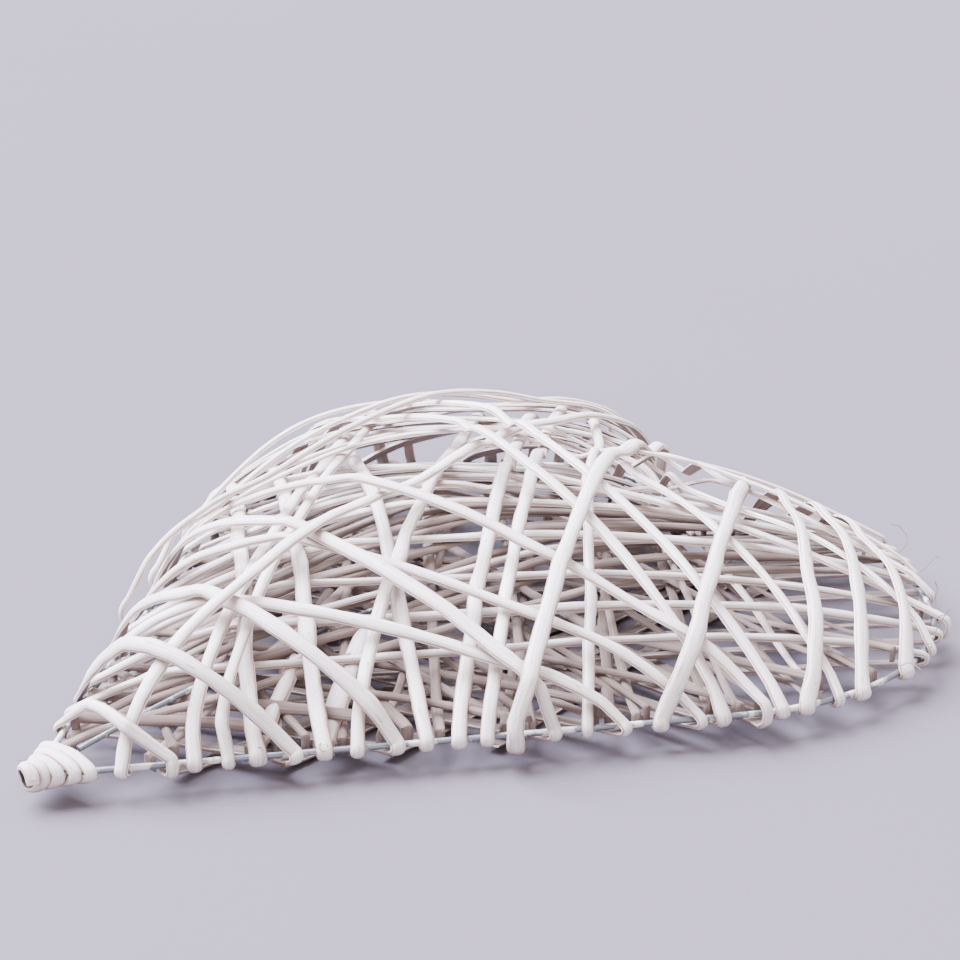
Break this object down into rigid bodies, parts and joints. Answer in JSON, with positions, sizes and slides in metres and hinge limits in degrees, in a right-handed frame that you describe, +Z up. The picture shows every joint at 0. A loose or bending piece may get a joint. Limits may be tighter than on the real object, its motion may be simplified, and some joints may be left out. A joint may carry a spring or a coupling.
{
  "type": "wicker heart ornament",
  "caption": "Heart-shaped ornament of white-painted split canes wound over and over a wire heart, domed in front and flat behind.",
  "frame": {"origin": "under the middle of the heart, on the surface that its lowest canes lie on", "axes": "+Z up out of the domed front, +Y from the tip to the cleft, +X to the side that faces the picture's camera"},
  "size_m": [0.2612, 0.3104, 0.0599],
  "materials": {
    "painted_cane": "satin white paint over split willow, thin at the edges",
    "binding_cane": "satin white paint over split willow, thin at the edges",
    "galvanised_wire": "galvanised, with patches of white paint"
  },
  "bodies": {
    "root": {"rim_wire": "galvanised_wire", "ridge_wire": "galvanised_wire", "tip_binding": "binding_cane", "cane_cross_10": "painted_cane", "cane_falling_23": "painted_cane", "cane_falling_24": "painted_cane", "cane_falling_25": "painted_cane", "cane_falling_26": "painted_cane", "cane_falling_27": "painted_cane", "cane_falling_28": "painted_cane", "cane_falling_29": "painted_cane", "cane_falling_30": "painted_cane", "cane_falling_31": "painted_cane", "cane_falling_32": "painted_cane", "cane_long_01": "painted_cane", "cane_long_02": "painted_cane", "cane_long_03": "painted_cane", "cane_long_04": "painted_cane", "cane_long_05": "painted_cane", "cane_long_06": "painted_cane", "cane_long_07": "painted_cane", "cane_long_08": "painted_cane", "cane_long_09": "painted_cane", "cane_outer_38": "painted_cane", "cane_outer_39": "painted_cane", "cane_outer_40": "painted_cane", "cane_ridge_15": "painted_cane", "cane_ridge_16": "painted_cane", "cane_rising_17": "painted_cane", "cane_rising_18": "painted_cane", "cane_rising_19": "painted_cane", "cane_rising_20": "painted_cane", "cane_rising_21": "painted_cane", "cane_rising_22": "painted_cane", "cane_steep_33": "painted_cane", "cane_steep_34": "painted_cane", "cane_steep_35": "painted_cane", "cane_steep_36": "painted_cane", "cane_steep_37": "painted_cane", "cane_upright_11": "painted_cane", "cane_upright_12": "painted_cane", "cane_upright_13": "painted_cane", "cane_upright_14": "painted_cane"}
  },
  "joints": []
}
